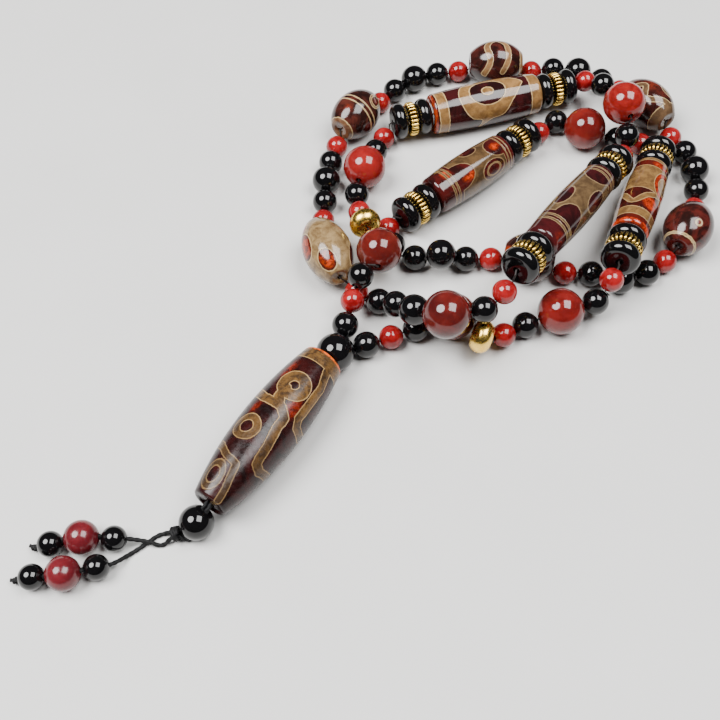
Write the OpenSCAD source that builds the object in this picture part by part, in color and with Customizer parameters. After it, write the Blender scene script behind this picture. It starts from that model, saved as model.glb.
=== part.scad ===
// Dzi bead necklace lying on a flat surface: one loop of onyx, agate, carnelian and patterned
// dzi beads, a guru bead, a long dzi pendant and a short tassel of two cords.
// Millimetres, +Z up, the surface at z = 0, the middle of the outline at x = 0, y = 0.

/* [Round beads] */
// Diameter of the large red beads
large_red_d = 12; // [11:0.25:13]
// Diameter of the medium black beads
medium_black_d = 8; // [7.5:0.25:8.75]
// Diameter of the small black beads
small_black_d = 6.9; // [6.5:0.1:7.5]
// Diameter of the small red beads
small_red_d = 6.3; // [6:0.1:6.8]
// Diameter of the guru bead above the pendant
guru_d = 9.8; // [9:0.2:11]
// Diameter of the bead below the pendant
end_bead_d = 8.2; // [7:0.2:9.4]

/* [Spacers] */
// Diameter of the thin black rondelles
rondelle_d = 10.4; // [9.6:0.2:10.8]
// Thickness of the thin black rondelles
rondelle_len = 4.1; // [3.5:0.1:4.6]
// Diameter of the ribbed gold rings
ring_d = 9.8; // [9:0.2:10.4]
// Thickness of the ribbed gold rings
ring_len = 2.8; // [2.2:0.1:3.4]
// Ribs around one gold ring
ring_ribs = 24; // [12:1:30]
// Depth of the grooves between the ribs
ring_groove = 0.3; // [0.15:0.05:0.5]
// Diameter of the smooth gold saucers
saucer_d = 8.6; // [8:0.2:9.4]
// Thickness of the smooth gold saucers
saucer_len = 5.4; // [4.8:0.2:6]
// Flat end face of a gold saucer
saucer_face_d = 4.4; // [3:0.2:5]

/* [Long dzi beads] */
// Length of the first long bead
tube_1_len = 33.5; // [31:0.5:36]
// Diameter of the first long bead
tube_1_d = 12.8; // [11.5:0.2:13.4]
// Length of the second long bead
tube_2_len = 35; // [33:0.5:37]
// Diameter of the second long bead
tube_2_d = 10.8; // [10:0.2:11.6]
// Length of the third long bead
tube_3_len = 27.5; // [25:0.5:30]
// Diameter of the third long bead
tube_3_d = 12; // [11:0.2:12.8]
// Length of the fourth long bead
tube_4_len = 30.5; // [28:0.5:33]
// Diameter of the fourth long bead
tube_4_d = 11; // [10:0.2:12]
// How much thinner a long bead is at its ends
tube_taper = 1.4; // [0.6:0.2:2]
// Radius of the rounded rims of a long bead
tube_rim = 1.2; // [0.8:0.1:1.8]

/* [Barrel dzi beads] */
// Diameter of the barrel beads
barrel_d = 13.2; // [12:0.2:13.8]
// Flat end face of a barrel bead
barrel_face_d = 6; // [4.5:0.25:7]
// Length of the first barrel bead
barrel_1_len = 19.5; // [18:0.25:21]
// Length of the second barrel bead
barrel_2_len = 16; // [15:0.25:17]
// Length of the third barrel bead
barrel_3_len = 16; // [15:0.25:17]
// Length of the fourth barrel bead
barrel_4_len = 17; // [16:0.25:18]
// Length of the fifth barrel bead
barrel_5_len = 15.4; // [14.4:0.2:16.4]
// Length of the sixth barrel bead
barrel_6_len = 13.4; // [12.4:0.2:14.4]

/* [Pendant] */
// Length of the pendant bead
pendant_len = 46; // [40:0.5:50]
// Largest diameter of the pendant bead
pendant_d = 15; // [14:0.2:16]
// Diameter of the end face at the guru bead
pendant_top_d = 10.4; // [9:0.2:11]
// Diameter of the end face at the lower bead
pendant_foot_d = 8.6; // [7.4:0.2:10]
// Share of the length from the foot up to the largest diameter
pendant_waist = 0.52; // [0.4:0.02:0.6]

/* [Thread and cords] */
// Diameter of the thread through the loop
thread_d = 0.5; // [0.4:0.1:0.6]
// Bore of the beads on the loop and on the tassel
bead_bore_d = 1.8; // [1.7:0.1:2.1]
// Diameter of each of the two pendant cords
cord_d = 0.9; // [0.7:0.1:1]
// Bore of the pendant and the two beads beside it
pendant_bore_d = 2.8; // [2.7:0.1:3.1]
// Free thread between two beads
bead_gap = 0.25; // [0.2:0.05:0.4]

/* [Tassel] */
// Diameter of the tassel's red beads
tassel_red_d = 8; // [7.2:0.2:8.6]
// Diameter of the tassel's black beads
tassel_black_d = 6; // [5.4:0.2:6.4]
// Diameter of the end knots
knot_d = 2.4; // [2:0.1:3]

/* [Hidden] */
// Sub-parts, and the one to draw.

$fn = 48;
cut = 0.01;
clear = 0.2;
// Facets drawn on the long arcs of the turned beads, short cones along each half of a barrel, and
// sides of the thread and of the cords.
ARC_FN = 720;
BARREL_BANDS = 14;
THREAD_SIDES = 6;
CORD_SIDES = 8;
// Rounded rims of the barrels, the saucers and the pendant.
barrel_rim = 0.5;
saucer_rim = 0.3;
pendant_rim = 0.8;
// How far outside a bore the thread and the cords turn, the turn a thread takes between two beads
// without a station of its own, and where thread and cords start in the guru bead.
turn_out = 0.1;
free_turn = 25;
thread_start = 1.2;
cord_start = 1.4;

// Kinds of bead: b small black, r small red, B medium black, R large red, g gold saucer,
// k rondelle, o gold ring, T long dzi bead, D barrel dzi bead.
sequence = [
    "b", "r", "b", "R", "g", "r", "b", "R", "b", "r", "k", "o", "k", "T1", "k", "o", "k",
    "r", "b", "R", "b", "r", "k", "o", "k", "T2", "k", "o", "k", "r", "b", "R", "B", "b", "b", "r",
    "D1", "r", "b", "B", "b", "r", "D2", "r", "b", "B", "b", "r", "D3", "r", "b", "B", "b", "r",
    "D4", "r", "b", "B", "b", "r", "D5", "r", "b", "B", "b", "r", "D6", "r", "b", "B", "b", "b",
    "r", "k", "o", "k", "T3", "k", "o", "k", "r", "b", "R", "b", "r", "k", "o", "k", "T4",
    "k", "o", "k", "r", "b", "R", "b", "r", "g", "R", "b", "r", "b"
];
// Columns: kind, length along the thread, diameter.
KIND_LEN = 1;
KIND_D = 2;
kinds = [
    ["G", guru_d, guru_d],
    ["b", small_black_d, small_black_d],
    ["r", small_red_d, small_red_d],
    ["B", medium_black_d, medium_black_d],
    ["R", large_red_d, large_red_d],
    ["g", saucer_len, saucer_d],
    ["k", rondelle_len, rondelle_d],
    ["o", ring_len, ring_d],
    ["T1", tube_1_len, tube_1_d],
    ["T2", tube_2_len, tube_2_d],
    ["T3", tube_3_len, tube_3_d],
    ["T4", tube_4_len, tube_4_d],
    ["D1", barrel_1_len, barrel_d],
    ["D2", barrel_2_len, barrel_d],
    ["D3", barrel_3_len, barrel_d],
    ["D4", barrel_4_len, barrel_d],
    ["D5", barrel_5_len, barrel_d],
    ["D6", barrel_6_len, barrel_d]
];

// The loop's route over the surface, from the guru bead round to the guru bead again.
route = [
    [-15.5, -30.5], [-13, -22.5], [-9.5, -12], [-4, -3.5], [-7, 6.5], [-9.5, 20], [-7, 31],
    [-3.5, 40], [-1.5, 45], [2, 48.5], [10, 50], [51.5, 61.5], [58.5, 63.5], [62.5, 60], [64.5, 52],
    [66.5, 43.5], [66, 35], [63.2, 28.5], [58.8, 23], [55.2, 18], [32.5, -13], [28, -19],
    [23, -24], [17.5, -26.5], [10, -28], [2.5, -21], [-3.5, -14.5], [-11, -9.5], [-19, 5],
    [-18.5, 16.5], [-17.5, 31.5], [-13.5, 46], [-6.5, 55], [4.5, 67], [13, 71.5], [27, 74],
    [37, 72.5], [54.5, 73], [68.5, 65.5], [78, 50], [85.5, 33.5], [83.5, 17.5], [75, 1], [61, -8.5],
    [53, -6.5], [42, -5], [32, -2], [22.5, 0], [10, -2], [3.5, 2], [-1.5, 6], [-1, 11],
    [2.5, 12.5], [8, 16.5], [37, 40.5], [42.5, 45], [46, 48.5], [51, 50.5], [56.5, 45], [66, 43],
    [72, 41.5], [76, 35.5], [73.5, 29.5], [57, -8.5], [54.5, -14], [50.5, -17], [40, -20.5],
    [30.5, -23], [25, -26.5], [19.5, -27.5], [14.5, -21], [5.5, -22.5], [-1.5, -25], [-8, -27.5],
    [-15.5, -30.5]
];

// Where the loop crosses itself: bead number, and how far that bead is lifted, as a share of
// a small black bead. Between two rows the lift follows a straight line.
lifts = [
    [0, 0], [1, 0.25], [2, 0.55], [3, 1.03], [4, 0.6], [5, 0.65], [6, 0.5], [7, 0.3], [8, 0.1],
    [9, 0.1], [10, 0], [17, 0], [18, 0.6], [19, 0.95], [20, 1.3], [21, 1.15], [22, 0.95], [23, 0],
    [29, 0], [30, 1.9], [31, 1.6], [32, 1.6], [33, 1.1], [34, 0.6], [35, 0], [36, 0],
    [69, 0], [70, 0.5], [71, 0], [72, 0.1], [73, 0], [85, 0], [86, 0.05], [92, 1.2], [93, 1.2],
    [94, 0.3], [95, 0], [96, 0], [97, 0.1], [98, 0.35], [99, 0], [102, 0]
];

// The second long bead lies across the last barrel: bead number of its end rondelles, and how far
// they are lifted, as a share of a barrel's diameter.
barrel_lifts = [[22, 0], [23, 0.497], [29, 1.15], [30, 0]];

// Where the thread shows some play: bead number, and the extra free thread before that bead.
plays = [
    [4, 0.6], [5, 2.5], [6, 0.3], [7, 1], [11, 1.4], [18, 0.5], [19, 0.2], [20, 5], [21, 0.4],
    [23, 0.3], [30, 2], [32, 0.8], [33, 0.8], [37, 0.5], [38, 0.8], [64, 0.5], [70, 0.5], [71, 0.7],
    [73, 0.7], [74, 0.9], [81, 1.2], [82, 0.2], [83, 0.4], [84, 0.4], [85, 0.2], [86, 2.3], [93, 1],
    [94, 0.4], [95, 0.3], [98, 1], [99, 1.2], [100, 0.6]
];
// Extra free thread on each side of a barrel bead, whose ends are wide.
barrel_play = 0.5;

// The two cord ends of the tassel, from the binding knot to their end knots.
cord_routes = [
    [[-56, -80.3], [-60, -79.3], [-65.5, -79.5], [-73, -79.5], [-80, -80.5], [-84.5, -80.5]],
    [[-56, -77.6], [-61, -81.2], [-69, -86.2], [-76, -88], [-83, -88.3], [-87.5, -88.3]]
];
// Tassel: where the cords cross, measured from the binding knot, how long they stay level there
// and take to get there, and the spacing of their stations.
cross_at = 8;
cross_flat = 1;
cross_ramp = 3;
station_step = 1.5;
rise_len = 4.5;
// From the lower bead to the middle of the binding knot.
bind_step = 1.1;
// Directions from +X: the pendant, the lower bead beyond it, and the binding knot beyond that.
pendant_turn = -124;
end_turn = -136;
bind_turn = -160;

// Points and lengths of a smooth curve through the points of a route.
CURVE_STEPS = 8;
function unit(v) = v / norm(v);
function heading(p, i) = unit(p[min(i + 1, len(p) - 1)] - p[max(i - 1, 0)]);
function between(a, b, ta, tb, t) =
    let (c = norm(b - a))
    (2 * t * t * t - 3 * t * t + 1) * a + (t * t * t - 2 * t * t + t) * c * ta
    + (3 * t * t - 2 * t * t * t) * b + (t * t * t - t * t) * c * tb;
function curve(p) = [
    for (i = [0 : len(p) - 2], s = [0 : CURVE_STEPS - 1])
        between(p[i], p[i + 1], heading(p, i), heading(p, i + 1), s / CURVE_STEPS),
    p[len(p) - 1]
];
function running(v) = [for (i = 0, s = v[0]; i < len(v); i = i + 1, s = s + (i < len(v) ? v[i] : 0)) s];
function lengths(c) = running([for (i = [0 : len(c) - 1]) i == 0 ? 0 : norm(c[i] - c[i - 1])]);
function place(c, marks, s) = [
    lookup(s, [for (i = [0 : len(c) - 1]) [marks[i], c[i].x]]),
    lookup(s, [for (i = [0 : len(c) - 1]) [marks[i], c[i].y]])
];

// Beads of the loop: number 0 is the guru bead, 1 to COUNT follow, and the last is the guru again.
COUNT = len(sequence);
loop_kinds = concat(["G"], sequence, ["G"]);
loop_rows = [for (k = loop_kinds) kinds[search([k], kinds)[0]]];
LAST = COUNT + 1;

// A long bead and the three spacers at each end of it lie on one straight line, a rod.
STACK = 3;
function is_long(i) = i > 0 && i < LAST && loop_kinds[i][0] == "T";
function long_near(i) = [for (j = [i - STACK : i + STACK]) if (is_long(j)) j][0];
function in_rod(i) = is_long(i) || loop_kinds[i] == "k" || loop_kinds[i] == "o";
rod_of = [for (i = [0 : LAST]) in_rod(i) ? long_near(i) : 0];

// Pitch from the bead before, and each bead's place along its rod.
function is_barrel(i) = loop_kinds[i][0] == "D";
function play(i) =
    let (found = [for (p = plays) if (p[0] == i) p[1]])
    (len(found) > 0 ? found[0] : 0) + (is_barrel(i) || is_barrel(i - 1) ? barrel_play : 0);
pitches = [
    for (i = [0 : LAST])
        i == 0 ? 0 : (loop_rows[i][KIND_LEN] + loop_rows[i - 1][KIND_LEN]) / 2 + bead_gap + play(i)
];
thread_s = running(pitches);
function rod_len(j) = thread_s[j + STACK] - thread_s[j - STACK];
function rod_share(i) = (thread_s[i] - thread_s[rod_of[i] - STACK]) / rod_len(rod_of[i]);

// Heights: on the surface, plus the lift where the loop crosses itself.
function lift(i) =
    small_black_d * lookup(i == LAST ? 0 : i, lifts) + barrel_d * lookup(i, barrel_lifts);
function rod_z(i) =
    let (j = rod_of[i], a = lift(j - STACK), b = lift(j + STACK))
    loop_rows[j][KIND_D] / 2 + a + (b - a) * rod_share(i);
bead_z = [for (i = [0 : LAST]) rod_of[i] ? rod_z(i) : loop_rows[i][KIND_D] / 2 + lift(i)];

// Centres on the route, one level pitch after another, then the rods drawn straight.
steps = [
    for (i = [0 : LAST])
        i == 0 ? 0 : sqrt(pow(pitches[i], 2) - pow(bead_z[i] - bead_z[i - 1], 2))
];
bead_s = running(steps);
route_curve = curve(route);
route_marks = lengths(route_curve);
route_scale = bead_s[LAST] / route_marks[len(route_marks) - 1];
route_x = [for (i = [0 : len(route_curve) - 1]) [route_marks[i], route_curve[i].x]];
route_y = [for (i = [0 : len(route_curve) - 1]) [route_marks[i], route_curve[i].y]];
on_route = [
    for (i = [0 : LAST])
        let (s = bead_s[i] / route_scale)
        [route_scale * lookup(s, route_x), route_scale * lookup(s, route_y), bead_z[i]]
];
function on_rod(i) =
    let (j = rod_of[i], a = on_route[j - STACK], b = on_route[j + STACK])
    (a + b) / 2 + unit(b - a) * (rod_share(i) - 0.5) * rod_len(j);
centres = [for (i = [0 : LAST]) rod_of[i] ? on_rod(i) : on_route[i]];
function rod_axis(j) = unit(on_route[j + STACK] - on_route[j - STACK]);
axes = [
    for (i = [0 : COUNT])
        i == 0 ? [0, 0, 1] : rod_of[i] ? rod_axis(rod_of[i]) : unit(centres[i + 1] - centres[i - 1])
];

// Pendant, level on its widest stretch, from the guru bead towards the tassel.
function level(turn) = [cos(turn), sin(turn), 0];
pendant_dir = level(pendant_turn);
guru_at = centres[0];
pendant_top = [guru_at.x, guru_at.y, pendant_d / 2] + (guru_d / 2 + bead_gap) * pendant_dir;
pendant_foot = pendant_top + pendant_len * pendant_dir;
end_dir = level(end_turn);
end_bead_at = [pendant_foot.x, pendant_foot.y, end_bead_d / 2] + (end_bead_d / 2 + bead_gap) * end_dir;
guru_bore = unit(pendant_top - guru_at);
end_bore = unit(end_bead_at - pendant_foot);

// The binding knot below the lower bead, a ring round both cords.
pair_half = cord_d + clear / 2;
bind_r = pair_half + clear + cord_d / 2;
bind_foot = [end_bead_at.x, end_bead_at.y, bind_r + cord_d / 2];
bind_at = bind_foot + (end_bead_d / 2 + bind_step) * level(bind_turn);
end_exit = end_bead_at + (end_bead_d / 2 + turn_out) * end_bore;
bind_dir = unit([bind_at.x - end_exit.x, bind_at.y - end_exit.y, 0]);

// Tassel: for each cord the level curve from the knot, then its three beads and its end knot,
// measured back from the knot's place at the end of the curve.
CORDS = [0, 1];
cord_sides = [1, -1];
function cord_side(k, dir) = cord_sides[k] * (pair_half - cord_d / 2) * unit(cross([0, 0, 1], dir));
cord_curves = [
    for (k = CORDS)
        let (start = bind_at + cord_side(k, bind_dir))
        curve(concat([[start.x, start.y]], cord_routes[k]))
];
cord_marks = [for (k = CORDS) lengths(cord_curves[k])];
function cord_len(k) = cord_marks[k][len(cord_marks[k]) - 1];
function on_cord(k, s, z) = let (p = place(cord_curves[k], cord_marks[k], s)) [p.x, p.y, z];
tassel_d = [tassel_black_d, tassel_red_d, tassel_black_d];
function level_step(a, b) = sqrt(pow((a + b) / 2 + bead_gap, 2) - pow((a - b) / 2, 2));
tassel_back = running([
    level_step(knot_d, tassel_black_d), level_step(tassel_black_d, tassel_red_d),
    level_step(tassel_red_d, tassel_black_d)
]);
TASSEL = [0 : 2];
tassel_at = [
    for (k = CORDS) [for (j = TASSEL) on_cord(k, cord_len(k) - tassel_back[2 - j], tassel_d[j] / 2)]
];
end_knot_at = [for (k = CORDS) on_cord(k, cord_len(k), knot_d / 2)];
tassel_axes = [
    for (k = CORDS)
        let (p = tassel_at[k])
        [unit(p[1] - p[0]), unit(p[2] - p[0]), unit(p[2] - p[1])]
];

// Level stations of a cord between the knot and its first bead, one over the other at the crossing.
rise_at = [for (k = CORDS) cord_len(k) - tassel_back[2] - tassel_black_d / 2 - rise_len];
function hump_share(s) = max(0, 1 - max(0, abs(s - cross_at) - cross_flat) / cross_ramp);
function hump(k, s) = k == 1 ? 0 : (cord_d + clear) * hump_share(s);
function floor_run(k) = [
    for (s = [2 * station_step : station_step : rise_at[k]]) on_cord(k, s, cord_d / 2 + hump(k, s))
];
function through(p, axis, d) = [p - (d / 2 + turn_out) * axis, p + (d / 2 + turn_out) * axis];
function last_exit(k) = through(tassel_at[k][2], tassel_axes[k][2], tassel_d[2])[1];
function cord_path(k) = concat(
    [
        guru_at + cord_start * guru_bore + cord_side(k, pendant_dir),
        pendant_top + cord_side(k, pendant_dir),
        pendant_foot + cord_side(k, pendant_dir),
        end_exit + cord_side(k, end_dir),
        bind_at + cord_side(k, bind_dir)
    ],
    floor_run(k),
    [for (j = TASSEL) each through(tassel_at[k][j], tassel_axes[k][j], tassel_d[j])],
    [end_knot_at[k]]
);

// Cord stations: along the bore out of the lower bead, along the binding knot, else along the path.
EXIT = 3;
function cord_stations(k) =
    let (p = cord_path(k))
    [
        for (i = [0 : len(p) - 1])
            [p[i], i == EXIT ? end_bore : i == EXIT + 1 ? bind_dir : heading(p, i)]
    ];

// Thread: a station at each end of every bead and of every rod, and one more, pushed outwards,
// between two beads whose bores turn away from each other. Each station is a point and a direction.
function thread_in(i) = is_long(i) || (in_rod(i) && i != rod_of[i] - STACK && i != rod_of[i] + STACK);
function bead_end(i, side) =
    [centres[i] + side * (loop_rows[i][KIND_LEN] / 2 + turn_out) * axes[i], axes[i]];
function thread_stations(i) = [
    if (!thread_in(i) && !(rod_of[i] && i > rod_of[i])) bead_end(i, -1),
    if (!thread_in(i) && !(rod_of[i] && i < rod_of[i])) bead_end(i, 1),
    if (i < COUNT && axes[i] * axes[i + 1] < cos(free_turn)) bulge(bead_end(i, 1), bead_end(i + 1, -1))
];
function bulge(a, b) = [
    (a[0] + b[0]) / 2 + (norm(b[0] - a[0]) / 4 + thread_d / 2) * unit(a[1] - b[1]),
    unit(b[0] - a[0])
];
function thread_end(i) =
    let (dir = unit(centres[i] - guru_at))
    [guru_at + thread_start * dir, i == 1 ? dir : -dir];
thread_path = concat(
    [thread_end(1)], [for (i = [1 : COUNT]) each thread_stations(i)], [thread_end(COUNT)]
);

// Middle of the whole outline, moved to the origin.
reach = concat(
    [for (i = [0 : COUNT]) if (!rod_of[i]) [centres[i].x, centres[i].y, loop_rows[i][KIND_D] / 2]],
    [for (k = CORDS, j = TASSEL) [tassel_at[k][j].x, tassel_at[k][j].y, tassel_d[j] / 2]],
    [for (k = CORDS) [end_knot_at[k].x, end_knot_at[k].y, knot_d / 2]]
);
function middle(axis) =
    (min([for (p = reach) p[axis] - p[2]]) + max([for (p = reach) p[axis] + p[2]])) / 2;
shift = [-middle(0), -middle(1), 0];

// Colours: onyx, red agate, carnelian, gold, the brown of the dzi beads and the black cord.
onyx = [0.05, 0.05, 0.06];
agate = [0.75, 0.12, 0.1];
carnelian = [0.55, 0.16, 0.12];
gold = [0.85, 0.65, 0.25];
dzi = [0.36, 0.2, 0.14];
cord_black = [0.08, 0.07, 0.07];

// Placing.
module along(p, axis) {
    translate(p + shift)
        rotate([0, acos(axis.z), atan2(axis.y, axis.x)])
            children();
}
module on_loop(i) {
    along(centres[i], axes[i]) children();
}
function all_of(kind) = [for (i = [1 : COUNT]) if (loop_kinds[i] == kind) i];

// Bodies, each about its own bore along z.
module round_bead(d, bore) {
    difference() {
        sphere(d = d);
        cylinder(h = d + 2 * cut, d = bore, center = true);
    }
}
module bore_out(axis, d, h) {
    rotate([0, acos(axis.z), atan2(axis.y, axis.x)])
        cylinder(h = h, d = d);
}

// Half of a bead's outline: an arc from the widest place at the bottom to the end face at the top,
// and a rounded rim that touches the arc and the end face. With bands, the arc is that many chords.
module half_outline(h, d, face_d, rim, bands) {
    drop = (d - face_d) / 2;
    arc_r = (h * h + drop * drop) / (2 * drop);
    arc_x = d / 2 - arc_r;
    rim_y = h - rim;
    rim_x = arc_x + sqrt(pow(arc_r - rim, 2) - pow(rim_y, 2));
    turn = asin(rim_y / (arc_r - rim));
    square([rim_x, h]);
    translate([rim_x, rim_y]) circle(r = rim);
    if (bands > 0)
        polygon(concat(
            [[0, arc_r * sin(turn)], [0, 0]],
            [for (i = [0 : bands]) [arc_x + arc_r * cos(turn * i / bands), arc_r * sin(turn * i / bands)]]
        ));
    else
        intersection() {
            translate([arc_x, 0]) circle(r = arc_r, $fn = ARC_FN);
            square([d, arc_r * sin(turn)]);
        }
}
module turned(up, down, d, face_up, face_down, rim, bore, bands = 0) {
    rotate_extrude()
        difference() {
            union() {
                half_outline(up, d, face_up, rim, bands);
                mirror([0, 1]) half_outline(down, d, face_down, rim, bands);
            }
            translate([-cut, -down - cut]) square([bore / 2 + cut, up + down + 2 * cut]);
        }
}
module long_bead(len, d) {
    turned(len / 2, len / 2, d, d - tube_taper, d - tube_taper, tube_rim, bead_bore_d);
}
module barrel_bead(len) {
    half = len / 2;
    turned(half, half, barrel_d, barrel_face_d, barrel_face_d, barrel_rim, bead_bore_d, BARREL_BANDS);
}
module saucer() {
    half = saucer_len / 2;
    turned(half, half, saucer_d, saucer_face_d, saucer_face_d, saucer_rim, bead_bore_d);
}

// Thin disc with a full round edge.
module rondelle() {
    edge = rondelle_len / 2;
    bore = bead_bore_d / 2;
    edge_x = rondelle_d / 2 - edge;
    rotate_extrude() {
        translate([edge_x, 0]) circle(r = edge);
        translate([bore, -edge]) square([edge_x - bore, rondelle_len]);
    }
}

// Ring with flat ribs along the bore. Columns of a rib's corners: share of its turn, and 0 in the
// groove or 1 on the rib.
rib_corners = [[0.1, 0], [0.22, 1], [0.78, 1], [0.9, 0]];
function ribbed(i, corner) =
    let (turn = (i + corner[0]) * 360 / ring_ribs)
    (ring_d / 2 - ring_groove * (1 - corner[1])) * [cos(turn), sin(turn)];
module gold_ring() {
    difference() {
        linear_extrude(height = ring_len, center = true)
            polygon([for (i = [0 : ring_ribs - 1], corner = rib_corners) ribbed(i, corner)]);
        cylinder(h = ring_len + 2 * cut, d = bead_bore_d, center = true);
    }
}

// Tube swept along stations, each a point and a direction, closed at both ends.
function tube_points(p, d, sides) = [
    for (station = p)
        let (s = unit(cross([0, 0, 1], station[1])), u = cross(station[1], s))
        for (k = [0 : sides - 1])
            let (turn = 360 * k / sides)
            station[0] + d / 2 * (cos(turn) * s + sin(turn) * u)
];
function tube_faces(count, sides) = concat(
    [[for (k = [0 : sides - 1]) k]],
    [
        for (i = [0 : count - 2], k = [0 : sides - 1])
            let (a = i * sides + k, b = i * sides + (k + 1) % sides)
            each [[a, a + sides, b + sides], [a, b + sides, b]]
    ],
    [[for (k = [sides - 1 : -1 : 0]) (count - 1) * sides + k]]
);
module tube(p, d, sides) {
    translate(shift)
        polyhedron(points = tube_points(p, d, sides), faces = tube_faces(len(p), sides), convexity = 10);
}

// Sub-parts.
module pendant_dzi() {
    up = pendant_len * pendant_waist;
    color(dzi)
        along(pendant_foot - up * pendant_dir, -pendant_dir)
            turned(
                pendant_len - up, up, pendant_d, pendant_top_d, pendant_foot_d, pendant_rim,
                pendant_bore_d
            );
}
module guru_bead() {
    color(onyx)
        translate(guru_at + shift)
            difference() {
                sphere(d = guru_d);
                bore_out(guru_bore, pendant_bore_d, guru_d);
                bore_out(unit(centres[1] - guru_at), bead_bore_d, guru_d);
                bore_out(unit(centres[COUNT] - guru_at), bead_bore_d, guru_d);
            }
}
module pendant_end_bead() {
    color(onyx) along(end_bead_at, end_bore) round_bead(end_bead_d, pendant_bore_d);
}
module tube_dzi(n) {
    row = kinds[search([str("T", n)], kinds)[0]];
    color(dzi) on_loop(all_of(row[0])[0]) long_bead(row[KIND_LEN], row[KIND_D]);
}
module barrel_dzi(n) {
    row = kinds[search([str("D", n)], kinds)[0]];
    color(dzi) on_loop(all_of(row[0])[0]) barrel_bead(row[KIND_LEN]);
}
module large_red_bead(n) {
    color(carnelian) on_loop(all_of("R")[n - 1]) round_bead(large_red_d, bead_bore_d);
}
module medium_black_bead(n) {
    color(onyx) on_loop(all_of("B")[n - 1]) round_bead(medium_black_d, bead_bore_d);
}
module gold_saucer(n) {
    color(gold) on_loop(all_of("g")[n - 1]) saucer();
}
module small_black_beads() {
    color(onyx) for (i = all_of("b")) on_loop(i) round_bead(small_black_d, bead_bore_d);
}
module small_red_beads() {
    color(agate) for (i = all_of("r")) on_loop(i) round_bead(small_red_d, bead_bore_d);
}
module spacer_rondelles() {
    color(onyx) for (i = all_of("k")) on_loop(i) rondelle();
}
module gold_rings() {
    color(gold) for (i = all_of("o")) on_loop(i) gold_ring();
}
module tassel_bead(k, j) {
    along(tassel_at[k][j], tassel_axes[k][j]) round_bead(tassel_d[j], bead_bore_d);
}
module tassel_red_bead(n) {
    color(agate) tassel_bead(n - 1, 1);
}
module tassel_black_bead(n) {
    color(onyx) tassel_bead(floor((n - 1) / 2), (n - 1) % 2 * 2);
}
module tassel_knots() {
    color(cord_black) {
        along(bind_at, bind_dir)
            rotate_extrude() translate([bind_r, 0]) circle(d = cord_d);
        for (k = CORDS)
            along(end_knot_at[k], unit(last_exit(k) - end_knot_at[k]))
                difference() {
                    sphere(d = knot_d);
                    cylinder(h = knot_d, d = cord_d + 2 * clear);
                }
    }
}
module necklace_thread() {
    color(cord_black) tube(thread_path, thread_d, THREAD_SIDES);
}
module pendant_cords() {
    color(cord_black) for (k = CORDS) tube(cord_stations(k), cord_d, CORD_SIDES);
}

pendant_dzi();
guru_bead();
pendant_end_bead();
tube_dzi(1);  // tube_dzi_1
tube_dzi(2);  // tube_dzi_2
tube_dzi(3);  // tube_dzi_3
tube_dzi(4);  // tube_dzi_4
barrel_dzi(1);  // barrel_dzi_1
barrel_dzi(2);  // barrel_dzi_2
barrel_dzi(3);  // barrel_dzi_3
barrel_dzi(4);  // barrel_dzi_4
barrel_dzi(5);  // barrel_dzi_5
barrel_dzi(6);  // barrel_dzi_6
large_red_bead(1);  // large_red_bead_1
large_red_bead(2);  // large_red_bead_2
large_red_bead(3);  // large_red_bead_3
large_red_bead(4);  // large_red_bead_4
large_red_bead(5);  // large_red_bead_5
large_red_bead(6);  // large_red_bead_6
large_red_bead(7);  // large_red_bead_7
medium_black_bead(1);  // medium_black_bead_1
medium_black_bead(2);  // medium_black_bead_2
medium_black_bead(3);  // medium_black_bead_3
medium_black_bead(4);  // medium_black_bead_4
medium_black_bead(5);  // medium_black_bead_5
medium_black_bead(6);  // medium_black_bead_6
medium_black_bead(7);  // medium_black_bead_7
gold_saucer(1);  // gold_saucer_1
gold_saucer(2);  // gold_saucer_2
small_black_beads();
small_red_beads();
spacer_rondelles();
gold_rings();
tassel_red_bead(1);  // tassel_red_bead_1
tassel_red_bead(2);  // tassel_red_bead_2
tassel_black_bead(1);  // tassel_black_bead_1
tassel_black_bead(2);  // tassel_black_bead_2
tassel_black_bead(3);  // tassel_black_bead_3
tassel_black_bead(4);  // tassel_black_bead_4
tassel_knots();
necklace_thread();
pendant_cords();
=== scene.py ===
"""Looks of the dzi bead necklace.

The round beads, rondelles, saucers and thread are the solids of the frame, with new materials.
The patterned dzi beads, the ribbed gold rings, and the tassel's cords and knots are finer meshes
in the same places. A dzi bead is a turned mesh. Its pattern is a few shapes drawn on its skin, kept
at each vertex as the distance to their edge in millimetres, and coloured by the material.
"""

import math
from typing import NamedTuple

import bpy
import numpy as np
from mathutils import Matrix, Vector


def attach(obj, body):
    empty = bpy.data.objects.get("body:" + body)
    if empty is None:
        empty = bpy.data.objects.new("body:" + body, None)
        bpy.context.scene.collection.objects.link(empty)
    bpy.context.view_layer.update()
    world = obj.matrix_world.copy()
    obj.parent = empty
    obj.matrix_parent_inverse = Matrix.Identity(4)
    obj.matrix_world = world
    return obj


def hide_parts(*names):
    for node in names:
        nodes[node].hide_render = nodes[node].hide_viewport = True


MM = 0.001
BODY = "root"

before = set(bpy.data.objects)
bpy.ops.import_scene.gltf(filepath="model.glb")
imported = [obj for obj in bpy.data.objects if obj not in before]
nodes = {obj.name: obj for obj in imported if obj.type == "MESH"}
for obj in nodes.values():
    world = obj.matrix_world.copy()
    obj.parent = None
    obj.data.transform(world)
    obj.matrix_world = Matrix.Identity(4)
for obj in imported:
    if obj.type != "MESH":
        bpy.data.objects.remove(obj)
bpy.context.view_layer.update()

# Camera: the place and tilt that fit the beads' places in the photograph.
CAMERA_AT = Vector((-0.0109, -0.1662, 0.2138))
CAMERA_PITCH = math.radians(56.5)
CAMERA_ROLL = math.radians(1.09)
LENS_MM = 50
SENSOR_MM = 36

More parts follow.
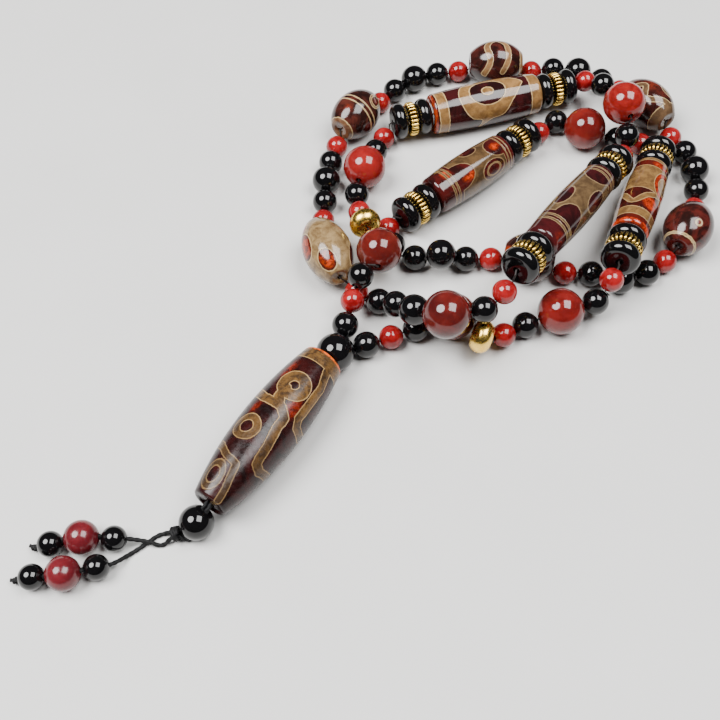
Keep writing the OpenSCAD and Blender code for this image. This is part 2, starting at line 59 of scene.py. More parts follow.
# The side that the beads' patterns face, and the directions that pick out a bead's first end.
FACING = np.array([0, -math.cos(CAMERA_PITCH), math.sin(CAMERA_PITCH)])
LEFT = np.array([-1.0, 0, 0])
AWAY = np.array([0, 1.0, 0])


def linear(red, green, blue):
    """A colour given as it is seen, 0 to 255, in the numbers that a shader takes."""
    levels = [level / 255 for level in (red, green, blue)]
    return (*(((v + 0.055) / 1.055) ** 2.4 if v > 0.04045 else v / 12.92 for v in levels), 1)


# Sockets of a mix node for colours, by number: its sockets for other values have the same names.
MIX_FACTOR, MIX_A, MIX_B, MIX_RESULT = 0, 6, 7, 2


class Graph:
    """Short calls that build the nodes of one material."""

    def __init__(self, name):
        self.material = bpy.data.materials.new(name)
        self.material.use_nodes = True
        self.tree = self.material.node_tree
        self.tree.nodes.clear()
        self.shader = self.add("ShaderNodeBsdfPrincipled")
        out = self.add("ShaderNodeOutputMaterial")
        self.tree.links.new(self.shader.outputs[0], out.inputs["Surface"])

    def add(self, kind, inputs=None, **settings):
        node = self.tree.nodes.new(kind)
        for key, value in settings.items():
            setattr(node, key, value)
        for key, value in (inputs or {}).items():
            self.feed(node.inputs[key], value)
        return node

    def feed(self, socket, value):
        """Joins a socket to another one, or sets its value."""
        if isinstance(value, bpy.types.NodeSocket):
            self.tree.links.new(value, socket)
        else:
            socket.default_value = value

    def surface(self, **inputs):
        for key, value in inputs.items():
            self.feed(self.shader.inputs[key.replace("_", " ")], value)

    def math(self, operation, *values):
        return self.add("ShaderNodeMath", dict(enumerate(values)), operation=operation).outputs[0]

    def mix(self, factor, a, b):
        inputs = {MIX_FACTOR: factor, MIX_A: a, MIX_B: b}
        return self.add("ShaderNodeMix", inputs, data_type="RGBA").outputs[MIX_RESULT]

    def step(self, value, low, high, at_low=0.0, at_high=1.0):
        """A soft step from at_low at low to at_high at high."""
        names = ("Value", "From Min", "From Max", "To Min", "To Max")
        inputs = dict(zip(names, (value, low, high, at_low, at_high)))
        return self.add("ShaderNodeMapRange", inputs, interpolation_type="SMOOTHSTEP").outputs[0]

    def place(self, stretch=(1, 1, 1)):
        where = self.add("ShaderNodeTexCoord").outputs["Object"]
        return self.add("ShaderNodeMapping", {"Vector": where, "Scale": stretch}).outputs[0]

    def noise(self, size_mm, detail=3.0, roughness=0.55, distortion=0.0, stretch=(1, 1, 1)):
        """Noise of 0 to 1 whose marks are about size_mm across."""
        inputs = {
            "Vector": self.place(stretch), "Scale": 1 / (size_mm * MM), "Detail": detail,
            "Roughness": roughness, "Distortion": distortion,
        }
        return self.add("ShaderNodeTexNoise", inputs).outputs[0]

    def bump(self, height, distance_mm, strength=1.0):
        inputs = {"Height": height, "Distance": distance_mm * MM, "Strength": strength}
        self.feed(self.shader.inputs["Normal"], self.add("ShaderNodeBump", inputs).outputs[0])

    def distance(self, layer):
        """What the mesh keeps at each vertex under a name."""
        return self.add("ShaderNodeAttribute", attribute_name=layer).outputs["Fac"]


def onyx_material():
    g = Graph("onyx")
    cloud = g.noise(3.0, 2)
    g.surface(
        Base_Color=g.mix(cloud, linear(4, 4, 5), linear(14, 13, 14)),
        Roughness=g.step(g.noise(0.8), 0.3, 0.8, 0.03, 0.08), IOR=1.5,
    )
    g.bump(g.noise(1.6, 2), 0.006)
    return g.material


def agate_material(name, bright, deep, spots, size_mm, glow=0.3, stretch=(1, 1, 1), rough=0.09):
    """Translucent red stone: a bright and a deep red in clouds of a size, with finer spots."""
    g = Graph(name)
    clouds = g.step(g.noise(size_mm, 3, 0.55, 0.6, stretch), 0.34, 0.66)
    colour = g.mix(clouds, linear(*bright), linear(*deep))
    specks = g.step(g.noise(size_mm * 0.25, 4, 0.6, 0.3, stretch), 0.56, 0.76, 0.0, 0.3)
    colour = g.mix(specks, colour, linear(*spots))
    g.surface(
        Base_Color=colour, Roughness=g.step(g.noise(0.7), 0.3, 0.8, rough * 0.6, rough * 1.4),
        IOR=1.52, Subsurface_Weight=glow, Subsurface_Radius=(1.0, 0.12, 0.08), Subsurface_Scale=1.4 * MM,
    )
    g.bump(g.noise(1.4, 2), 0.006)
    return g.material


def gold_material(name, grooves=False):
    g = Graph(name)
    colour = g.mix(g.noise(1.2, 3), linear(240, 186, 74), linear(255, 224, 124))
    if grooves:
        # Painted shade: the grooves between the ring's ribs are coloured dark brown.
        colour = g.mix(g.step(g.distance("groove"), 0.2, 0.6), colour, linear(40, 22, 6))
    g.surface(Base_Color=colour, Metallic=1.0, Roughness=g.step(g.noise(0.5, 4), 0.3, 0.7, 0.18, 0.32))
    g.bump(g.noise(0.5, 3), 0.006)
    return g.material


def cord_material():
    g = Graph("black_cord")
    # Painted shade and highlight: darker in the grooves between the twisted strands, lighter on their crowns.
    colour = g.mix(g.step(g.distance("groove"), 0.1, 0.8), linear(20, 19, 20), linear(3, 3, 4))
    colour = g.mix(g.noise(0.12, 3), colour, linear(11, 10, 11))
    g.surface(Base_Color=colour, Roughness=0.6, Specular_IOR_Level=0.22)
    g.bump(g.noise(0.09, 3), 0.03)
    return g.material


def thread_material():
    g = Graph("thread")
    g.surface(Base_Color=g.mix(g.noise(0.2, 3), linear(16, 12, 12), linear(40, 32, 30)), Roughness=0.6)
    g.bump(g.noise(0.1, 3), 0.02)
    return g.material


# The pale edge of a bead's lines, in millimetres: how far inside the lines its middle is, and how
# far from its middle it ends and is full.
PALE_INSET, PALE_FADE = 0.12, (0.17, 0.07)


def dzi_material(name, colours, rough, rim=None, shine=0.5):
    """Etched agate: lines with a pale edge over a mottled stone, with glowing patches and rims. The
    six colours are those of the lines, their shade, their edge, the stone, its shade and the glow."""
    g = Graph(name)
    line, line_shade, pale, base, base_shade, glow = (linear(*colour) for colour in colours)
    wobble = g.math("MULTIPLY", g.math("SUBTRACT", g.noise(0.9, 3), 0.5), 0.4)

    def edge(layer):
        """The distance to a shape's edge in millimetres, less than 0 inside it, a little uneven."""
        return g.math("ADD", g.distance(layer), wobble)

    stone = g.mix(g.step(g.noise(5.0, 4, 0.6, 0.8), 0.36, 0.62), base, base_shade)
    stone = g.mix(g.step(g.noise(1.1, 5, 0.7), 0.54, 0.72, 0.0, 0.6), stone, base_shade)
    embers = g.step(g.noise(1.2, 5, 0.7, 0.8), 0.38, 0.62, 0.15, 1.0)
    stone = g.mix(g.math("MULTIPLY", g.step(edge("glow"), 0.7, -1.0), embers), stone, glow)
    motif = g.mix(g.step(g.noise(2.6, 5, 0.65, 0.5), 0.34, 0.66), line, line_shade)
    motif = g.mix(g.step(g.noise(0.55, 4, 0.75), 0.5, 0.72, 0.0, 0.7), motif, line_shade)
    # Towards the pendant's foot the lines darken to their shade colour: partly painted shade, partly the
    # stone's own darker colour there.
    motif = g.mix(g.math("MULTIPLY", g.distance("shade"), 0.9), motif, line_shade)
    inside = g.step(edge("line"), 0.06, -0.06)
    outline = g.step(g.math("ABSOLUTE", g.math("ADD", edge("line"), PALE_INSET)), *PALE_FADE)
    colour = g.mix(inside, stone, motif)
    # The pale edges fade towards the foot in the same way, partly as painted shade.
    fade = g.step(g.distance("shade"), 0.0, 1.0, 0.85, 0.35)
    colour = g.mix(g.math("MULTIPLY", outline, fade), colour, pale)
    rims = g.math("MULTIPLY", g.step(edge("rim"), 0.2, -0.3), embers)
    colour = g.mix(rims, colour, linear(*rim) if rim else glow)
    g.surface(
        Base_Color=colour, IOR=1.5, Specular_IOR_Level=shine,
        Roughness=g.step(g.noise(0.8, 4), 0.3, 0.7, rough * 0.7, rough * 1.35),
    )
    relief = g.math("ADD", g.math("MULTIPLY", inside, -0.5), g.math("MULTIPLY", g.noise(0.7, 4, 0.7), 0.25))
    g.bump(relief, 0.05)
    return g.material


def floor_material():
    g = Graph("floor")
    g.surface(Base_Color=g.mix(g.noise(40, 3), linear(200, 199, 197), linear(208, 207, 205)), Roughness=0.55)
    return g.material


# Frames of beads, read from the solids. Corners within WELD of each other, in metres, are one, and
# LEAST_AREA keeps a triangle that has no area from dividing by nought.
WELD = 1e-6
LEAST_AREA = 1e-20


def welded(node):
    """Corners and triangles of a node, with the corners that lie in one place joined."""
    mesh = nodes[node].data
    mesh.calc_loop_triangles()
    points = np.array([v.co for v in mesh.vertices])
    faces = np.array([t.vertices for t in mesh.loop_triangles])
    places = np.round(points / WELD).astype(int)
    _, first, same = np.unique(places, axis=0, return_index=True, return_inverse=True)
    return points[first], same.ravel()[faces]


def solids(node):
    """The loose solids of a node, each as its corners and triangles."""
    points, faces = welded(node)
    label = np.arange(len(points))
    while True:
        low = label.copy()
        for k in range(3):
            np.minimum.at(low, faces[:, k], label[faces].min(axis=1))
        low = low[low]
        if (low == label).all():
            break
        label = low
    return [(points, faces[label[faces[:, 0]] == root]) for root in np.unique(label[faces[:, 0]])]


def bead_frame(solid, towards):
    """Middle and unit axis of one turned bead, the axis on the side of a direction. The axis is
    at right angles to the bead's largest flat."""
    points, faces = solid
    a, b, c = (points[faces[:, k]] for k in range(3))
    normal = np.cross(b - a, c - a)
    area = np.linalg.norm(normal, axis=1)
    normal = normal / np.maximum(area, LEAST_AREA)[:, None]
    which = np.unique(np.round(normal, 2), axis=0, return_inverse=True)[1].ravel()
    chosen = which == np.bincount(which, weights=area).argmax()
    axis = (normal[chosen] * area[chosen, None]).sum(axis=0)
    axis /= np.linalg.norm(axis)
    if axis @ towards < 0:
        axis = -axis
    middle = ((a + b + c) / 3 * area[:, None]).sum(axis=0) / area.sum()
    along = points[np.unique(faces)] @ axis
    return middle + ((along.min() + along.max()) / 2 - middle @ axis) * axis, axis


def across(axis):
    """Two unit vectors at right angles to an axis, the first facing the viewer."""
    ahead = FACING - (FACING @ axis) * axis
    ahead /= np.linalg.norm(ahead)
    return ahead, np.cross(axis, ahead)


def spokes(axis, angle):
    """Unit vectors at right angles to an axis, at angles from the one that faces the viewer."""
    ahead, aside = across(axis)
    return np.cos(angle)[:, None] * ahead + np.sin(angle)[:, None] * aside


def ring_faces(rows, columns, closed=True):
    """Faces between rows of points that each go round. In a closed skin the last row meets the first."""
    faces = []
    for i in range(rows if closed else rows - 1):
        this, following = i * columns, (i + 1) % rows * columns
        for k in range(columns):
            beside = (k + 1) % columns
            faces.append((this + k, this + beside, following + beside, following + k))
    return faces


def new_piece(name, points, faces, material, layers):
    """A smooth mesh that keeps the values of each layer at its vertices."""
    mesh = bpy.data.meshes.new(name)
    mesh.from_pydata([tuple(p) for p in points], [], [tuple(f) for f in faces])
    mesh.validate()
    for layer, values in layers.items():
        attribute = mesh.attributes.new(layer, "FLOAT", "POINT")
        attribute.data.foreach_set("value", np.asarray(values, dtype=np.float32))
    mesh.materials.append(material)
    mesh.shade_smooth()
    piece = bpy.data.objects.new(name, mesh)
    bpy.context.collection.objects.link(piece)
    return piece


# Shapes on a bead's skin. A place is (s, turn): s is the share of the length from the first end,
# and turn is in degrees round the axis from the line that faces the viewer. A band that runs over
# an end of the bead starts or stops off the end.
BEFORE, BEYOND = -0.1, 1.1
CURVE_STEPS = 6


class Skin:
    """Places on the skin of one bead, and the distances in millimetres from them to shapes."""

    def __init__(self, share, turn, radius_mm, length_mm):
        self.share, self.turn, self.radius, self.length = share, turn, radius_mm, length_mm

    def offset(self, place):
        turn = (self.turn - place[1] + 180) % 360 - 180
        return (self.share - place[0]) * self.length, np.radians(turn) * self.radius

    def band(self, start, end):
        return np.maximum(start - self.share, self.share - end) * self.length

    def disc(self, place, radius, stretch=1.0):
        x, y = self.offset(place)
        return np.hypot(x / stretch, y) - radius

    def ring(self, place, outer, inner, stretch=1.0):
        return np.maximum(self.disc(place, outer, stretch), -self.disc(place, inner, stretch))

    def line(self, places, width):
        gaps = []
        for a, b in zip(places, places[1:]):
            x, y = self.offset(a)
            dx = (b[0] - a[0]) * self.length
            dy = np.radians(b[1] - a[1]) * self.radius
            t = np.clip((x * dx + y * dy) / (dx * dx + dy * dy), 0, 1)
            gaps.append(np.hypot(x - t * dx, y - t * dy))
        return union(*gaps) - width / 2

    def field(self, places):
        """The inside of a closed outline."""
        x, y = self.offset((0, 0))
        corners = [(a[0] * self.length, np.radians(a[1]) * self.radius) for a in places]
        inside = np.zeros(self.share.shape, dtype=bool)
        for (ax, ay), (bx, by) in zip(corners, corners[1:] + corners[:1]):
            crosses = (ax > x) != (bx > x)
            t = (x - ax) / (bx - ax or 1)
            inside ^= crosses & (y < ay + t * (by - ay))
        gap = self.line([*places, places[0]], 0)
        return np.where(inside, -gap, gap)


def run_on(points):
    """The points, and one more straight on beyond each end."""
    return np.r_[[2 * points[0] - points[1]], points, [2 * points[-1] - points[-2]]]


def curved(places, closed=False):
    """More places on a smooth curve through the given ones."""
    p = np.array(places, dtype=float)
    p = np.r_[p[-1:], p, p[:2]] if closed else run_on(p)
    t = np.linspace(0, 1, CURVE_STEPS, endpoint=False)[:, None]
    parts = [
        0.5 * (2 * b + (c - a) * t + (2 * a - 5 * b + 4 * c - d) * t ** 2 + (3 * b - a - 3 * c + d) * t ** 3)
        for a, b, c, d in zip(p, p[1:], p[2:], p[3:])
    ]
    return np.concatenate(parts if closed else parts + [p[-2:-1]])


def union(*distances):
    """The distance to the nearest of some shapes."""
    return np.minimum.reduce(distances)


def without(distance, *cuts):
    """The distance to a shape with others cut out of it."""
    return np.maximum.reduce([distance] + [-cut for cut in cuts])


# Turned beads: the points round a rim, and the distance in millimetres to a shape that a bead
# doesn't have.
RIM_STEPS = 10
FAR = 9.0


class BeadSizes(NamedTuple):
    """Sizes of a turned bead in millimetres. Its end faces are up, at the first end, and down, and
    widest is the share of the length from the second end to the widest place."""

    length: float
    diameter: float
    face_up: float
    face_down: float
    rim: float
    bore: float
    widest: float = 0.5


def half_outline(height, diameter, face, rim, steps):
    """Radius and height of points from the widest place over the rim to the end face."""
    drop = (diameter - face) / 2
    arc_r = (height * height + drop * drop) / (2 * drop)
    arc_x = diameter / 2 - arc_r
    rim_y = height - rim
    turn = math.asin(rim_y / (arc_r - rim))
    rim_x = arc_x + (arc_r - rim) * math.cos(turn)
    arc = np.linspace(0, turn, steps)
    corner = np.linspace(turn, math.pi / 2, RIM_STEPS)[1:]
    side = np.c_[arc_x + arc_r * np.cos(arc), arc_r * np.sin(arc)]
    return np.r_[side, np.c_[rim_x + rim * np.cos(corner), rim_y + rim * np.sin(corner)]]


def turned_bead(name, node, towards, sizes, draw, material, steps, columns):
    """A dzi bead in a node's place, its first end on the side of a direction. draw gives the
    distances to the shapes of its pattern, steps is the points from its widest place to a rim, and
    columns is the points round it."""
    length, diameter, face_up, face_down, rim, bore, widest = sizes
    middle, axis = bead_frame(solids(node)[0], towards)
    up, down = length * (1 - widest), length * widest
    top = half_outline(up, diameter, face_up, rim, steps)[::-1]
    bottom = half_outline(down, diameter, face_down, rim, steps) * (1, -1)
    outline = np.r_[[(bore / 2, up)], top, bottom[1:], [(bore / 2, -down)]]
    rows = len(outline)
    angle = np.linspace(-math.pi, math.pi, columns, endpoint=False)
    radius, height = outline[:, 0], outline[:, 1] + (down - up) / 2
    points = middle + MM * (height[:, None, None] * axis + radius[:, None, None] * spokes(axis, angle))
    # The rows go from the first end to the second, so the faces turn over to look outwards.
    faces = [(a, d, c, b) for a, b, c, d in ring_faces(rows, columns)]
    share = np.repeat((length / 2 - height) / length, columns)
    skin = Skin(share, np.tile(np.degrees(angle), rows), np.repeat(radius, columns), length)
    far = np.full(share.shape, FAR)
    # shade is how much the lines darken, partly as painted shade; only the pendant has any.
    layers = {"line": far, "glow": far, "rim": far, "shade": np.zeros(share.shape), **draw(skin)}
    piece = new_piece(name, points.reshape(-1, 3), faces, material, layers)
    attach(piece, BODY)
    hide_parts(node)


# Sizes of the dzi beads in millimetres, as their solids have them.
BEAD_BORE = 1.8
TUBE_TAPER, TUBE_RIM = 1.4, 1.2
BARREL_D, BARREL_FACE, BARREL_RIM = 13.2, 6, 0.5
PENDANT = BeadSizes(
    length=46, diameter=15, face_up=10.4, face_down=8.6, rim=0.8, bore=2.8, widest=0.52
)


def tube_sizes(length, diameter):
    face = diameter - TUBE_TAPER
    return BeadSizes(length, diameter, face, face, TUBE_RIM, BEAD_BORE)


def barrel_sizes(length):
    return BeadSizes(length, BARREL_D, BARREL_FACE, BARREL_FACE, BARREL_RIM, BEAD_BORE)


def seen(t):
    """The turn of a place that shows at t, from -1 at the left silhouette to 1 at the right."""
    return math.degrees(math.asin(t))


def pendant_pattern(skin):
    zigzag = [
        (0.385, seen(-0.99)), (0.42, seen(-0.73)), (0.425, seen(-0.1)), (0.465, seen(0.2)), (0.53, seen(0.2)),
        (0.63, seen(0.33)), (0.71, seen(0.40)), (0.735, seen(0.46)), (0.75, seen(0.68)),
    ]
    neck = [(0.32, seen(-0.38)), (0.38, seen(-0.38)), (0.42, seen(-0.22))]
    side = [
        (0.10, seen(0.42)), (0.19, seen(0.58)), (0.31, seen(0.56)), (0.41, seen(0.55)), (0.45, seen(0.68)),
        (0.46, seen(0.95)),
    ]
    lower = [
        (0.745, seen(-0.89)), (0.785, seen(-0.57)), (0.80, seen(-0.1)), (0.86, 0), (0.94, seen(0.2)),
        (0.985, seen(0.28)),
    ]
    back = [side[-1], (0.40, 110), (0.48, 150), (0.38, 190), (0.46, 235), (0.385, 278)]
    back_low = [zigzag[-1], (0.72, 80), (0.84, 120), (0.74, 170), (0.84, 215), (0.72, 260), (0.745, 297)]
    lines = union(
        skin.band(BEFORE, 0.095),
        skin.ring((0.282, seen(-0.22)), 4.3, 1.1), skin.line(neck, 2.8), skin.line(zigzag, 2.5),
        skin.line(side, 2.5), skin.ring((0.605, seen(-0.6)), 3.6, 1.55), skin.line(lower, 1.8),
        skin.ring((0.895, seen(-0.63)), 2.8, 1.4, 1.4), skin.line(back, 2.4), skin.line(back_low, 2.2),
        skin.ring((0.22, 140), 3.2, 1.1), skin.ring((0.54, 115), 3.2, 1.2), skin.ring((0.54, 205), 3.2, 1.2),
    )
    glow = union(
        skin.disc((0.39, seen(0.24)), 1.9, 1.7), skin.disc((0.20, seen(-0.75)), 1.4, 2.0),
        skin.disc((0.48, seen(-0.75)), 1.0, 2.2),
    )
    # The lines darken towards the foot: partly painted shade, partly the stone's own darker colour there.
    shade = np.clip(skin.share * 1.8 - 0.6, 0, 1)
    return {"line": lines, "glow": glow, "rim": skin.band(BEFORE, 0.018), "shade": shade}


def tube_1_pattern(skin):
    lozenge = [
        (0.235, 20), (0.28, 52), (0.38, 74), (0.56, 78), (0.70, 66), (0.83, 34), (0.80, 14), (0.70, -22),
        (0.62, -52), (0.50, -62), (0.40, -92), (0.42, -60), (0.33, -48), (0.26, -18),
    ]
    back = [(0.22, 180), (0.36, 225), (0.62, 230), (0.80, 180), (0.62, 130), (0.36, 130)]
    lines = union(
        skin.band(0.035, 0.125), skin.band(0.885, BEYOND),
        without(skin.field(curved(lozenge, True)), skin.ring((0.50, 20), 4.1, 1.45, 1.3)),
        without(skin.field(curved(back, True)), skin.ring((0.50, 180), 3.8, 1.8)),
    )
    return {"line": lines, "rim": skin.band(BEFORE, 0.022)}


def rounded_web(skin, first, last, windows):
    """A web in the lines' colour between two shares of the length, with round windows of stone cut
    into it. Each window is a place, a radius and a stretch along the bead."""
    return without(skin.band(first, last), *(skin.disc(*window) for window in windows))


def tube_2_pattern(skin):
    windows = [
        ((0.245, -6), 4.0, 1.4), ((0.885, 16), 3.8, 1.2), ((0.47, 52), 2.0, 2.1), ((0.62, -35), 2.2, 1.9),
        ((0.25, 110), 3.4, 1.3), ((0.88, 130), 3.0, 1.3), ((0.52, 160), 2.2, 1.6), ((0.26, -130), 3.4, 1.3),
        ((0.62, -135), 1.9, 1.7), ((0.88, -100), 2.6, 1.4), ((0.56, 108), 1.4, 1.8), ((0.42, -92), 1.2, 1.8),
    ]
    lines = union(
        rounded_web(skin, 0.255, 0.855, windows), skin.band(0.145, 0.172), skin.band(0.192, 0.218),
        skin.band(0.885, 0.91), skin.band(0.93, 0.95),
    )
    return {"line": lines, "glow": union(skin.disc((0.07, -30), 2.0), skin.disc((0.62, -35), 0.6, 1.8))}


def tube_3_pattern(skin):
    windows = [
        ((0.26, 0), 3.9, 1.35), ((0.87, 22), 3.3, 1.35), ((0.56, 54), 1.7, 1.5), ((0.68, -35), 2.7, 1.45),
        ((0.28, 96), 2.8, 1.3), ((0.86, 104), 2.9, 1.2), ((0.55, 150), 2.3, 1.6), ((0.28, -112), 3.4, 1.3),
        ((0.86, -128), 3.1, 1.2), ((0.55, -150), 1.6, 1.6),
    ]
    lines = union(
        rounded_web(skin, 0.245, 0.865, windows), skin.band(0.14, 0.168), skin.band(0.188, 0.215),
        skin.band(0.885, 0.905), skin.band(0.93, 0.945), skin.ring((0.68, -35), 1.9, 1.4, 1.5),
    )
    glow = union(
        skin.disc((0.82, 20), 1.0, 1.3), skin.disc((0.38, -14), 1.0, 2.2), skin.disc((0.76, -42), 0.3, 1.2),
        skin.disc((0.17, 30), 1.6, 0.8), skin.disc((0.28, 150), 2.0),
    )
    return {"line": lines, "glow": glow}


def tube_4_pattern(skin):
    wave = [
        (0.34, -178), (0.44, -130), (0.33, -85), (0.46, -40), (0.40, 0), (0.27, 38), (0.40, 80), (0.34, 130),
        (0.34, 182),
    ]
    eye = skin.ring((0.64, -38), 3.3, 2.1, 1.6)
    field = without(union(skin.line(curved(wave), 1.8), skin.band(0.47, 0.84)), eye)
    lines = union(field, skin.band(0.095, 0.20), skin.band(0.93, 0.975))
    glow = union(
        skin.disc((0.31, -14), 2.4, 1.0), eye, skin.disc((0.885, -10), 2.4, 0.6),
        skin.disc((0.62, 150), 2.4),
    )
    return {"line": lines, "glow": glow, "rim": union(skin.band(0.005, 0.045), skin.band(0.99, BEYOND))}


def barrel_1_pattern(skin):
    lines = without(
        skin.band(BEFORE, BEYOND), skin.disc((0.44, -56), 2.9, 1.4), skin.disc((0.82, -14), 2.3, 1.2),
        skin.disc((0.14, -50), 1.5), skin.disc((0.5, 150), 3.6), skin.disc((0.74, 86), 2.2, 1.6),
    )
    glow = union(
        skin.disc((0.44, -56), 2.4, 1.4), skin.disc((0.82, -14), 1.9, 1.2), skin.disc((0.14, -50), 1.4),
    )
    return {"line": lines, "glow": glow}


def barrel_2_pattern(skin):
    lines = union(
        skin.band(0.40, 0.43), skin.band(0.50, 0.53), skin.ring((0.78, -25), 2.2, 1.4, 1.3),
        skin.ring((0.24, 120), 2.2, 1.2), skin.band(0.93, BEYOND), skin.band(BEFORE, 0.06),
    )
    return {"line": lines, "glow": union(skin.disc((0.24, 20), 1.2), skin.disc((0.78, -25), 1.0, 1.3))}


def barrel_3_pattern(skin):
    swirl = [(0.25, -50), (0.36, -10), (0.30, 35), (0.46, 62), (0.66, 40), (0.70, -5), (0.60, -40)]
    lines = union(skin.line(curved(swirl), 1.8), skin.band(0.93, BEYOND))
    return {"line": lines, "glow": skin.disc((0.5, -70), 1.6)}


def barrel_4_pattern(skin):
    wave = [(0.15, -40), (0.35, 10), (0.6, -15), (0.85, 30)]
    lines = union(
        skin.line(curved(wave), 1.8), skin.ring((0.62, 62), 2.6, 1.3), skin.band(0.85, BEYOND),
    )
    return {"line": lines, "glow": skin.disc((0.4, 25), 2.4)}


def barrel_5_pattern(skin):
    lines = union(
        skin.ring((0.64, 2), 1.1, 0.6), skin.band(0.90, 0.94), skin.band(BEFORE, 0.06),
        skin.ring((0.5, 150), 2.6, 1.4),
    )
    return {"line": lines, "glow": skin.disc((0.64, 2), 1.4)}


def barrel_6_pattern(skin):
    streak = [(0.1, -30), (0.45, -10), (0.6, 35), (0.9, 50)]
    lines = union(skin.line(curved(streak), 2.0), skin.disc((0.3, 60), 1.8))
    return {"line": lines, "glow": skin.disc((0.12, -10), 2.4)}


# The pendant, with the six colours that dzi_material takes.
PENDANT_COLOURS = [
    (106, 76, 40), (48, 35, 25), (158, 127, 82), (44, 13, 12), (20, 8, 8), (116, 30, 10),
]
pendant_stone = dzi_material("pendant_agate", PENDANT_COLOURS, rough=0.25, rim=(236, 98, 20), shine=0.28)
turned_bead(
    "pendant_looks", "pendant_dzi", AWAY, PENDANT, pendant_pattern, pendant_stone, steps=130, columns=288
)

# The tubes: number, length, diameter, pattern and the six colours.
TUBES = [
    (1, 33.5, 12.8, tube_1_pattern,
     (140, 104, 62), (102, 73, 42), (188, 160, 114), (54, 18, 19), (30, 12, 12), (150, 50, 16)),
    (2, 35, 10.8, tube_2_pattern,
     (94, 74, 50), (66, 50, 34), (130, 108, 78), (58, 17, 19), (34, 12, 13), (96, 26, 20)),
    (3, 27.5, 12, tube_3_pattern,
     (88, 66, 42), (60, 44, 28), (122, 98, 68), (66, 18, 16), (34, 12, 11), (196, 62, 14)),
    (4, 30.5, 11, tube_4_pattern,
     (122, 92, 54), (84, 60, 36), (152, 124, 84), (74, 20, 14), (40, 13, 11), (176, 50, 14)),
]
for number, length, diameter, pattern, *colours in TUBES:
    stone = dzi_material(f"dzi_tube_{number}", colours, rough=0.08)
    turned_bead(
        f"tube_{number}_looks", f"tube_dzi_{number}", LEFT, tube_sizes(length, diameter), pattern, stone,
        steps=72, columns=184,
    )

# The barrels: number, length, the side of the first end, pattern, and the colours of the lines,
# their shade, the stone and its glow. The edge of the lines and the stone's shade don't vary.
BARREL_EDGE, BARREL_SHADE = (172, 148, 108), (30, 14, 12)
BARRELS = [
    (1, 19.5, AWAY, barrel_1_pattern, (140, 116, 80), (94, 72, 46), (62, 22, 19), (170, 56, 16)),
    (2, 16, LEFT, barrel_2_pattern, (112, 80, 54), (76, 50, 36), (74, 34, 27), (110, 38, 22)),
    (3, 16, LEFT, barrel_3_pattern, (140, 104, 68), (98, 70, 44), (70, 29, 24), (96, 36, 22)),
    (4, 17, LEFT, barrel_4_pattern, (98, 74, 52), (70, 52, 36), (74, 29, 23), (104, 36, 22)),
    (5, 15.4, AWAY, barrel_5_pattern, (104, 84, 62), (74, 56, 40), (76, 27, 23), (90, 30, 24)),
    (6, 13.4, LEFT, barrel_6_pattern, (98, 74, 50), (70, 52, 34), (74, 29, 23), (160, 52, 18)),
]
for number, length, towards, pattern, line, line_shade, base, glow in BARRELS:
    colours = line, line_shade, BARREL_EDGE, base, BARREL_SHADE, glow
    stone = dzi_material(f"dzi_barrel_{number}", colours, rough=0.11)
    turned_bead(
        f"barrel_{number}_looks", f"barrel_dzi_{number}", towards, barrel_sizes(length), pattern, stone,
        steps=44, columns=144,
    )


# Gold rings: one mesh for each ring, in millimetres. The ribs are rounded, and they bulge out by
# RING_BULGE from the rims of the ring's flat sides. The powers say how full the two curves are.
RING_D, RING_LEN, RING_BULGE, BULGE_POWER = 9.8, 2.8, 1.5, 4
RING_RIBS, RING_GROOVE, RIB_POWER = 24, 0.75, 0.6
RIB_STEPS, BULGE_STEPS = 10, 13


def ribbed_ring(solid, name, material):
    middle, axis = bead_frame(solid, AWAY)
    columns = RING_RIBS * RIB_STEPS
    angle = np.linspace(0, 2 * math.pi, columns, endpoint=False)
    rib = np.abs(np.sin(angle * RING_RIBS / 2))
    edge = np.linspace(-1, 1, BULGE_STEPS)
    bulge = np.sqrt(np.maximum(1 - edge ** BULGE_POWER, 0))
    outer = RING_D / 2 - RING_GROOVE * (1 - rib[None, :] ** RIB_POWER)
    inner = RING_D / 2 - RING_BULGE
    radius = inner + (outer - inner) * bulge[:, None]
    height = np.repeat(edge * RING_LEN / 2, columns).reshape(len(edge), columns)
    bore = np.full((1, columns), BEAD_BORE / 2)
    radius = np.r_[bore, radius, bore]
    height = np.r_[height[:1], height, height[-1:]]
    points = middle + MM * (height[..., None] * axis + radius[..., None] * spokes(axis, angle)[None])
    rows = len(radius)
    # groove is how far down between two ribs a point lies; the gold there is painted dark as shade.
    groove = np.tile(1 - rib, (rows, 1))
    faces = ring_faces(rows, columns)
    return new_piece(name, points.reshape(-1, 3), faces, material, {"groove": groove.ravel()})


ring_gold = gold_material("ring_gold", grooves=True)
for number, solid in enumerate(solids("gold_rings"), 1):
    ring = ribbed_ring(solid, f"gold_ring_{number}", ring_gold)
    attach(ring, BODY)
    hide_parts("gold_rings")

# Cords: a rope of two strands along the middle line of each cord's solid, and their knots, in
# millimetres. CORD_D is the solid's diameter, a twist is the length in which a strand goes round
# once, and the tail is what sticks out of the knot at a cord's end.
CORD_D, ROPE_D = 0.9, 1.1
ROPE_TWIST, KNOT_TWIST = 3.0, 2.4
ROPE_STEP, ROPE_SIDES, ROPE_LEAST, SPAN_STEPS = 0.14, 16, 8, 12
STRAND_CORE, STRAND_BULGE, STRAND_POWER = 0.72, 0.28, 0.7
KNOT_SIZE, KNOT_DEPTH, KNOT_START, KNOT_STEPS = 0.24, 1.4, 0.25, 60
COIL_LEN, COIL_R, COIL_TURNS, COIL_STEPS = 1.4, 1.4, 2.5, 50
TAIL_PLACES = (0, 1.0, 1.9)
END_REACH = 1.05
NEARLY_UP = (0.0, 0.02, 1.0)


